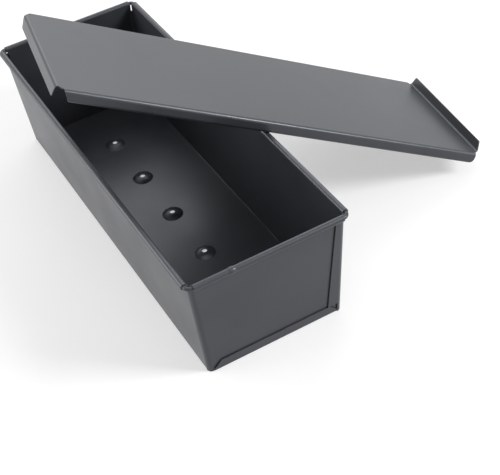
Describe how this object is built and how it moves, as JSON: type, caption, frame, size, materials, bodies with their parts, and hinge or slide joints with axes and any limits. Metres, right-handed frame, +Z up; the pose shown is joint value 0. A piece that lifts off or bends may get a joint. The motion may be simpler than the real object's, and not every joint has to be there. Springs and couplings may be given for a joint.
{
  "type": "pullman loaf pan",
  "caption": "Straight-sided sheet-steel loaf pan with a wired rolled rim and vented domes in its bottom, and its sliding rail lid leaning across it.",
  "frame": {"origin": "centre of the flat underside of the pan", "axes": "+X along the pan towards the end with the wire's joint, +Y towards the side that the lid leans on, +Z up out of the mouth"},
  "size_m": [0.3358, 0.3197, 0.1681],
  "materials": {
    "pan_coating": "satin dark grey non-stick coating",
    "wire_coating": "satin dark grey non-stick coating, rubbed by the roll",
    "lid_coating": "satin grey non-stick coating"
  },
  "bodies": {
    "pan": {"pan_body": "pan_coating", "rim_wire": "wire_coating"},
    "lid": {"lid": "lid_coating"}
  },
  "joints": [
    {"name": "lid_lift", "type": "slide", "parent": "pan", "child": "lid", "axis": [0, 0, 1], "range_m": [0, 0.1]}
  ]
}
